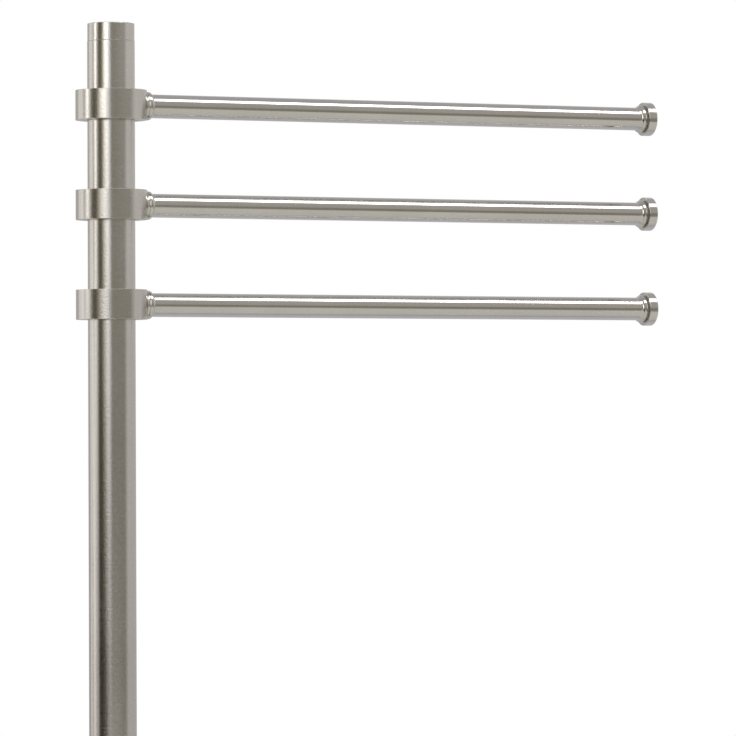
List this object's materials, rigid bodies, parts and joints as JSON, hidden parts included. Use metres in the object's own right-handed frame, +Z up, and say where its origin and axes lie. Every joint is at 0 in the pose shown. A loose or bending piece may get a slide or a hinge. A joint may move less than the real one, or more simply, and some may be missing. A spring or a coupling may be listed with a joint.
{
  "type": "freestanding towel rack",
  "caption": "Freestanding towel rack: a slim round post on a weighted disc base, with straight swing arms near its top that turn on collars and end in small discs.",
  "frame": {"origin": "the post's axis at floor level, in the middle of the felt pad's underside", "axes": "+Z up the post, +X along the swing arms at rest"},
  "size_m": [0.4513, 0.254, 0.9144],
  "materials": {
    "satin_nickel": "satin nickel plate, grained",
    "polished_nickel": "nickel plate, finer and glossier than the post's",
    "cast_iron": "as cast, oiled",
    "felt": "pressed wool felt",
    "nylon": "natural nylon",
    "zinc_steel": "zinc plated",
    "bare_steel": "turned and brazed"
  },
  "bodies": {
    "stand": {"floor_pad": "felt", "base_weight": "cast_iron", "base_cover": "satin_nickel", "base_washer": "zinc_steel", "base_bolt": "zinc_steel", "post_foot": "bare_steel", "post_flange": "satin_nickel", "post_tube": "satin_nickel", "top_cap": "satin_nickel"},
    "upper_arm": {"upper_collar": "satin_nickel", "upper_liner": "nylon", "upper_set_screw": "zinc_steel", "upper_stud": "zinc_steel", "upper_ferrule": "polished_nickel", "upper_rod": "polished_nickel", "upper_end_cap": "polished_nickel"},
    "middle_arm": {"middle_collar": "satin_nickel", "middle_liner": "nylon", "middle_set_screw": "zinc_steel", "middle_stud": "zinc_steel", "middle_ferrule": "polished_nickel", "middle_rod": "polished_nickel", "middle_end_cap": "polished_nickel"},
    "lower_arm": {"lower_collar": "satin_nickel", "lower_liner": "nylon", "lower_set_screw": "zinc_steel", "lower_stud": "zinc_steel", "lower_ferrule": "polished_nickel", "lower_rod": "polished_nickel", "lower_end_cap": "polished_nickel"}
  },
  "joints": [
    {"name": "upper_swing", "type": "hinge", "parent": "stand", "child": "upper_arm", "pos_m": [0, 0, 0.8708], "axis": [0, 0, 1], "continuous": true},
    {"name": "middle_swing", "type": "hinge", "parent": "stand", "child": "middle_arm", "pos_m": [0, 0, 0.8176], "axis": [0, 0, 1], "continuous": true},
    {"name": "lower_swing", "type": "hinge", "parent": "stand", "child": "lower_arm", "pos_m": [0, 0, 0.7644], "axis": [0, 0, 1], "continuous": true}
  ]
}
